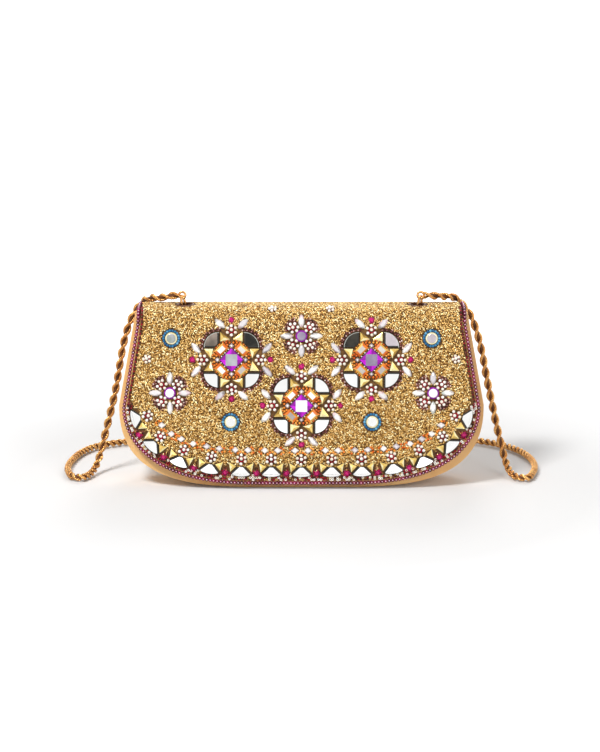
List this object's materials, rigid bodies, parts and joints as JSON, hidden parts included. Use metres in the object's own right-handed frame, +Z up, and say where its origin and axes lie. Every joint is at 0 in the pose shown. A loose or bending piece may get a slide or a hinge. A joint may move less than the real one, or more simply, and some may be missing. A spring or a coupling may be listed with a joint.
{
  "type": "clutch bag",
  "caption": "Small evening clutch with a fold-over jewelled mirror-work flap, leather body, magnetic snap and a rope chain strap through eyelets.",
  "frame": {"origin": "middle of the flat under the base, on the surface the bag stands on", "axes": "+X to the bag's right as seen from the front, -Y towards the flap's face, +Z up"},
  "size_m": [0.3347, 0.1302, 0.1316],
  "materials": {
    "tan_leather": "smooth, satin",
    "lining_fabric": "fine twill",
    "beaded_cloth": "gold bugle beads sewn close on cloth, with stones set in it",
    "piping_beads": "magenta seed beads",
    "gold_metal": "polished, gold colour",
    "purple_stone": "cut, polished",
    "mirror_glass": "silvered glass"
  },
  "bodies": {
    "bag": {"back_panel": "tan_leather", "front_panel": "tan_leather", "gusset": "tan_leather", "lining": "lining_fabric", "flap_root": "beaded_cloth", "root_piping_left": "piping_beads", "root_piping_right": "piping_beads", "eyelet_left": "gold_metal", "eyelet_washer_left": "gold_metal", "jump_ring_left": "gold_metal", "end_link_left": "gold_metal", "anchor_ring_left": "gold_metal", "anchor_rivet_left": "gold_metal", "eyelet_right": "gold_metal", "eyelet_washer_right": "gold_metal", "jump_ring_right": "gold_metal", "end_link_right": "gold_metal", "anchor_ring_right": "gold_metal", "anchor_rivet_right": "gold_metal", "anchor_tab_left": "tan_leather", "anchor_tab_right": "tan_leather", "chain_strap": "gold_metal", "snap_socket": "gold_metal"},
    "flap": {"flap_cloth": "beaded_cloth", "flap_lining": "lining_fabric", "flap_piping": "piping_beads", "snap_stud": "gold_metal", "centre_stone_1": "purple_stone", "centre_stone_2": "purple_stone", "centre_stone_3": "purple_stone", "mirror_fan_1_1": "mirror_glass", "mirror_fan_1_2": "mirror_glass", "mirror_fan_1_3": "mirror_glass", "mirror_fan_1_4": "mirror_glass", "mirror_fan_2_1": "mirror_glass", "mirror_fan_2_2": "mirror_glass", "mirror_fan_2_3": "mirror_glass", "mirror_fan_2_4": "mirror_glass", "mirror_fan_3_1": "mirror_glass", "mirror_fan_3_2": "mirror_glass", "mirror_fan_3_3": "mirror_glass", "mirror_fan_3_4": "mirror_glass", "round_mirror_1": "mirror_glass", "round_mirror_2": "mirror_glass", "round_mirror_3": "mirror_glass", "round_mirror_4": "mirror_glass", "mirror_leaf_1": "mirror_glass", "mirror_leaf_2": "mirror_glass", "mirror_leaf_3": "mirror_glass", "mirror_leaf_4": "mirror_glass", "mirror_leaf_5": "mirror_glass", "mirror_leaf_6": "mirror_glass", "mirror_leaf_7": "mirror_glass", "mirror_leaf_8": "mirror_glass", "mirror_leaf_9": "mirror_glass", "mirror_leaf_10": "mirror_glass", "mirror_leaf_11": "mirror_glass", "mirror_leaf_12": "mirror_glass", "mirror_leaf_13": "mirror_glass"}
  },
  "joints": [
    {"name": "flap_hinge", "type": "hinge", "parent": "bag", "child": "flap", "pos_m": [0, 0.002, 0.1215], "axis": [-1, 0, 0], "range_deg": [0, 110]}
  ]
}
